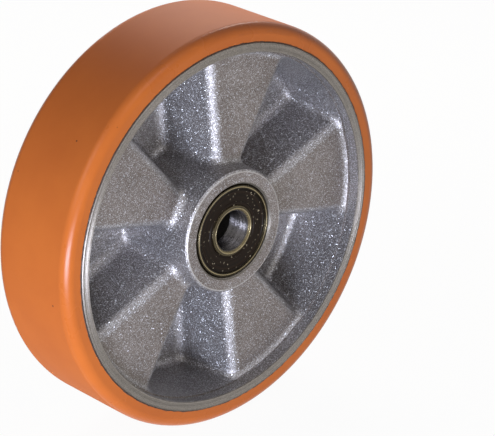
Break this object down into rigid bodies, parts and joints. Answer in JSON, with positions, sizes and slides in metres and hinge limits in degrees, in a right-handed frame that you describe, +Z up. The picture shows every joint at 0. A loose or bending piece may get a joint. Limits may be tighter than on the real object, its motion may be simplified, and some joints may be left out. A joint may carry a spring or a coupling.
{
  "type": "industrial wheel",
  "caption": "Industrial wheel: polyurethane tyre bonded on a cast aluminium centre with a corrugated web, turning freely on sealed ball bearings pressed into its hub.",
  "frame": {"origin": "wheel centre, on the axle's axis midway between the hub faces", "axes": "+Y along the axle from the front hub face to the rear one, +Z up"},
  "size_m": [0.2, 0.056, 0.2],
  "materials": {
    "cast_aluminium": "shot-blasted casting, machined at rim and hub faces",
    "polyurethane": "satin cast polyurethane",
    "bearing_steel": "ground",
    "ball_steel": "polished",
    "cage_steel": "pressed sheet",
    "seal_rubber": "moulded, satin"
  },
  "bodies": {
    "inner_rings": {"front_inner_ring": "bearing_steel", "rear_inner_ring": "bearing_steel"},
    "wheel": {"wheel_centre": "cast_aluminium", "tyre": "polyurethane", "front_outer_ring": "bearing_steel", "front_outer_seal": "seal_rubber", "front_inner_seal": "seal_rubber", "rear_outer_ring": "bearing_steel", "rear_outer_seal": "seal_rubber", "rear_inner_seal": "seal_rubber"},
    "front_cage": {"front_cage_outer_half": "cage_steel", "front_cage_inner_half": "cage_steel", "front_cage_rivets": "cage_steel", "front_ball_1": "ball_steel", "front_ball_2": "ball_steel", "front_ball_3": "ball_steel", "front_ball_4": "ball_steel", "front_ball_5": "ball_steel", "front_ball_6": "ball_steel", "front_ball_7": "ball_steel", "front_ball_8": "ball_steel"},
    "rear_cage": {"rear_cage_outer_half": "cage_steel", "rear_cage_inner_half": "cage_steel", "rear_cage_rivets": "cage_steel", "rear_ball_1": "ball_steel", "rear_ball_2": "ball_steel", "rear_ball_3": "ball_steel", "rear_ball_4": "ball_steel", "rear_ball_5": "ball_steel", "rear_ball_6": "ball_steel", "rear_ball_7": "ball_steel", "rear_ball_8": "ball_steel"}
  },
  "joints": [
    {"name": "wheel_spin", "type": "hinge", "parent": "inner_rings", "child": "wheel", "pos_m": [0, 0, 0], "axis": [0, 1, 0], "continuous": true},
    {"name": "front_cage_spin", "type": "hinge", "parent": "inner_rings", "child": "front_cage", "pos_m": [0, -0.0205, 0], "axis": [0, 1, 0], "continuous": true},
    {"name": "rear_cage_spin", "type": "hinge", "parent": "inner_rings", "child": "rear_cage", "pos_m": [0, 0.0205, 0], "axis": [0, 1, 0], "continuous": true}
  ],
  "couplings": [
    {"joint": "front_cage_spin", "follows": "wheel_spin", "ratio": 0.61848},
    {"joint": "rear_cage_spin", "follows": "wheel_spin", "ratio": 0.61848}
  ]
}
